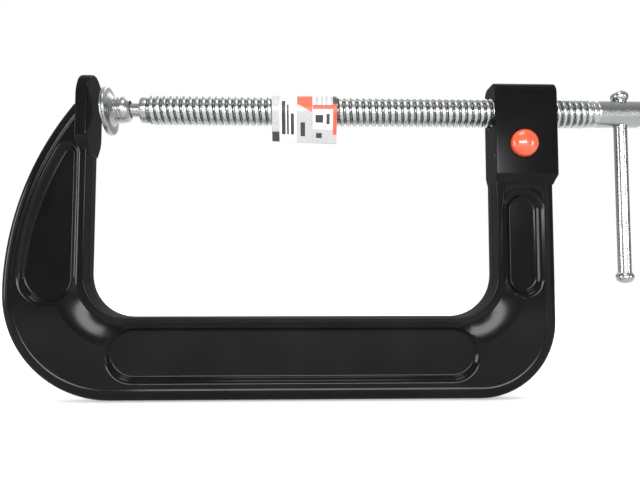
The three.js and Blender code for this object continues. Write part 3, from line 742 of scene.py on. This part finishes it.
oiled, tree, shader, place = finish("oiled_steel", (0.32, 0.32, 0.33), 1, 0.4)
oil_film = spread(tree, noise(tree, place, 300, 4), 0.35, 0.7, 0, 1)
tree.links.new(mixed(tree, oil_film, (0.34, 0.34, 0.35), (0.2, 0.18, 0.16)), shader.inputs["Base Color"])
tree.links.new(spread(tree, noise(tree, place, 700, 3), 0.3, 0.7, 0.3, 0.5), shader.inputs["Roughness"])
bumped(tree, shader, noise(tree, place, 1200, 3), 0.00003, 0.6)
for name in ("half_nut", "release_plunger", "return_spring", "button_retaining_pin"):
    node = frame["nodes"][name]
    node.data.materials.clear()
    node.data.materials.append(oiled)


# ---- Paper band ------------------------------------------------------------------------------
# A strip of coated paper looped over the spindle and glued below it. Its print is plain blocks
# and bars in grey, black and orange-red.

band_low, band_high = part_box("label_band")
band_inner = 9.3 * MM
band_wall = 0.3 * MM
band_hang = -band_low.z
half_fold = 0.45 * MM
print_length = 39.9
left_side_drop = 0.93
WHITE, GREY, ORANGE, BLACK, LINE = range(5)


def band_line(radius, hang, straight=22, round_steps=56):
    """The drop-shaped section of the loop in Y and Z, from the front of the fold over to the back."""
    lean_in = math.asin((radius - half_fold) / hang)
    start = Vector((-half_fold, -hang))
    touch = Vector((-radius * math.cos(lean_in), -radius * math.sin(lean_in)))
    side = [start.lerp(touch, i / straight) for i in range(straight)]
    loop = [Vector((-radius * math.cos(a), -radius * math.sin(a)))
            for a in (lean_in - (math.pi + 2 * lean_in) * i / round_steps for i in range(round_steps + 1))]
    other = [Vector((-p.x, p.y)) for p in side[::-1]]
    return side + loop + other


def printed(along, height, front):
    """Which ink lies at a place on the paper, in millimetres from its left edge and from the axis."""
    # Grey strip at the left edge
    if along < 4.3:
        return BLACK if height < -14.5 and front else GREY
    if along < 4.6 or 15.3 < along < 15.6 or 24.8 < along < 25.1:
        return LINE
    # White panel with black bars
    if along < 15.3:
        bars = ((5.9, 8.4, -16, 4.5), (9.3, 10.4, -16, 1.5), (11.4, 13.6, -16, -4))
        return BLACK if any(a < along < b and low < height < high for a, b, low, high in bars) else WHITE
    # Grey panel, orange-red above a slanting line
    if along < 24.8:
        if height > 2.2 - (along - 15.6) * 0.55:
            return ORANGE
        return BLACK if 17.6 < along < 20.4 and -16.5 < height < -8.5 else GREY
    # Strip at the right edge
    if along > 37.6:
        if height > 2.6:
            return BLACK
        return ORANGE if height > -15 else GREY
    # White panel with an orange-red bar, thin lines above it and two boxes below it
    if -0.7 < height < 1.9:
        return ORANGE
    if height > 1.9:
        return LINE if int((along - 25.4) / 1.5) % 2 else WHITE
    if height < -12.6:
        return BLACK if 27 < along < 30.6 and -17.6 < height < -14.4 else GREY
    first_box = 26.8 < along < 31.4 and -8.6 < height < -4.6
    second_box = 33.4 < along < 35.6 and -9.4 < height < -4
    return BLACK if first_box or second_box else WHITE


columns = 100
band_mesh = bmesh.new()
outer_line = band_line(band_inner + band_wall, band_hang)
inner_line = band_line(band_inner, band_hang - 0.4 * MM)
section = outer_line + inner_line[::-1]
ring = [band_mesh.verts.new((band_low.x, p.x, p.y)) for p in section]
first_ring = ring
width = band_high.x - band_low.x
for column in range(1, columns + 1):
    x = band_low.x + width * column / columns
    ring = extruded_ring(band_mesh, ring, [(x, p.x, p.y) for p in section])
# Each end of the loop is closed between its outer and inner lines
half = len(outer_line)
for end_ring in (first_ring, ring):
    pairs = list(zip(end_ring[:half], end_ring[:half - 1:-1]))
    for (a, b), (c, d) in zip(pairs, pairs[1:]):
        band_mesh.faces.new((a, b, d, c))
bmesh.ops.recalc_face_normals(band_mesh, faces=band_mesh.faces)
for paper_face in band_mesh.faces:
    centre = paper_face.calc_center_median()
    outside = math.hypot(centre.y, centre.z) > band_inner + 0.5 * band_wall or centre.z < -band_inner
    faces_out = paper_face.normal.y * centre.y + paper_face.normal.z * max(centre.z, 0) > 0
    along = (centre.x - band_low.x) / width * print_length
    ink = printed(along, centre.z / MM, centre.y < 0)
    paper_face.material_index = ink if outside and faces_out else WHITE
# The glued strip isn't quite square: its right side hangs a little lower
for vert in band_mesh.verts:
    share = (vert.co.x - band_low.x) / width
    if vert.co.z < 0:
        vert.co.z *= left_side_drop + (1 - left_side_drop) * share
band = piece("label_band_paper", band_mesh)
shade(band, 50)


def paper(name, colour):
    """Coated paper with one ink on it."""
    material, tree, shader, place = finish(name, colour, 0, 0.45)
    fibre = noise(tree, place, 700, 4)
    tree.links.new(mixed(tree, spread(tree, fibre, 0.35, 0.65, 0, 1), colour, tuple(c * 0.9 for c in colour)),
                   shader.inputs["Base Color"])
    tree.links.new(spread(tree, noise(tree, place, 200, 3), 0.3, 0.7, 0.38, 0.55), shader.inputs["Roughness"])
    bumped(tree, shader, fibre, 0.00005, 0.5)
    return material


inks = {"paper_white": (0.62, 0.62, 0.62), "paper_grey": (0.36, 0.36, 0.36), "ink_orange": (0.6, 0.07, 0.03),
        "ink_black": (0.02, 0.02, 0.022), "ink_line": (0.33, 0.33, 0.34)}
for name, colour in inks.items():
    band.data.materials.append(paper(name, colour))
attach(band, "frame")
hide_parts("label_band")
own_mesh(band)


# ---- Floor, light and camera -----------------------------------------------------------------
# The clamp stands on its rail on a plain pale floor. The floor glows a little towards the back, so
# that it runs into the white room behind.

floor_mesh = bmesh.new()
bmesh.ops.create_grid(floor_mesh, x_segments=1, y_segments=1, size=6)
bmesh.ops.translate(floor_mesh, vec=(0, 0, frame_low.z - 0.2 * MM), verts=floor_mesh.verts)
floor = piece("floor", floor_mesh)
pale, tree, shader, place = finish("pale_floor", (0.8, 0.8, 0.8), 0, 0.8)
shader.inputs["Specular IOR Level"].default_value = 0.1
shader.inputs["Emission Color"].default_value = (1, 1, 1, 1)
floor_place = tree.nodes.new("ShaderNodeSeparateXYZ")
tree.links.new(place, floor_place.inputs[0])
tree.links.new(spread(tree, floor_place.outputs["Y"], -0.3, 0.5, 0, 0.75), shader.inputs["Emission Strength"])
floor.data.materials.append(pale)

# A white room, seen dimmer in the gloss than by eye, brighter overhead and behind
world = bpy.data.worlds.new("studio")
world.use_nodes = True
sky = world.node_tree
white = sky.nodes["Background"]
white.inputs["Strength"].default_value = 1.0
white.inputs["Color"].default_value = (1, 1, 1, 1)
room = sky.nodes.new("ShaderNodeBackground")
direction = sky.nodes.new("ShaderNodeTexCoord")
parts = sky.nodes.new("ShaderNodeSeparateXYZ")
sky.links.new(direction.outputs["Generated"], parts.inputs[0])
behind = spread(sky, parts.outputs["Y"], -0.7, 0.9, 0.1, 0.75)
overhead = spread(sky, parts.outputs["Z"], 0.1, 0.8, 0, 0.5)
total = sky.nodes.new("ShaderNodeMath")
sky.links.new(behind, total.inputs[0])
sky.links.new(overhead, total.inputs[1])
sky.links.new(total.outputs[0], room.inputs["Strength"])
seen = sky.nodes.new("ShaderNodeLightPath")
either = sky.nodes.new("ShaderNodeMixShader")
sky.links.new(seen.outputs["Is Camera Ray"], either.inputs[0])
sky.links.new(room.outputs[0], either.inputs[1])
sky.links.new(white.outputs[0], either.inputs[2])
sky.links.new(either.outputs[0], sky.nodes["World Output"].inputs["Surface"])
bpy.context.scene.world = world

middle = (cad_low + cad_high) / 2
for name, offset, width, height, power in (
        ("light_key", (0, -1.15, 0.2), 0.9, 0.2, 16), ("light_top", (0, -0.5, 1.1), 0.5, 0.5, 5),
        ("light_left", (-1.2, -0.35, 0.12), 0.3, 0.5, 9), ("light_right", (1.1, -0.95, 0.12), 0.14, 0.4, 6),
        ("light_back", (0.2, 0.9, 1.2), 1.0, 1.0, 6)):
    lamp = bpy.data.lights.new(name, "AREA")
    lamp.shape = "RECTANGLE"
    lamp.size = width
    lamp.size_y = height
    lamp.energy = power
    light = bpy.data.objects.new(name, lamp)
    light.location = middle + Vector(offset)
    light.rotation_euler = (middle - light.location).to_track_quat("-Z", "Y").to_euler()
    bpy.context.scene.collection.objects.link(light)

lens = bpy.data.cameras.new("camera")
lens.sensor_width = 36
lens.lens = 33.75
lens.shift_x = -0.014
lens.clip_start = 0.01
camera = bpy.data.objects.new("camera", lens)
camera.location = (0.1329, -0.3707, -0.1052)
camera.rotation_euler = (math.radians(93.8), 0, math.radians(-1.9))
bpy.context.scene.collection.objects.link(camera)
bpy.context.scene.camera = camera
bpy.context.scene.view_settings.view_transform = "Standard"
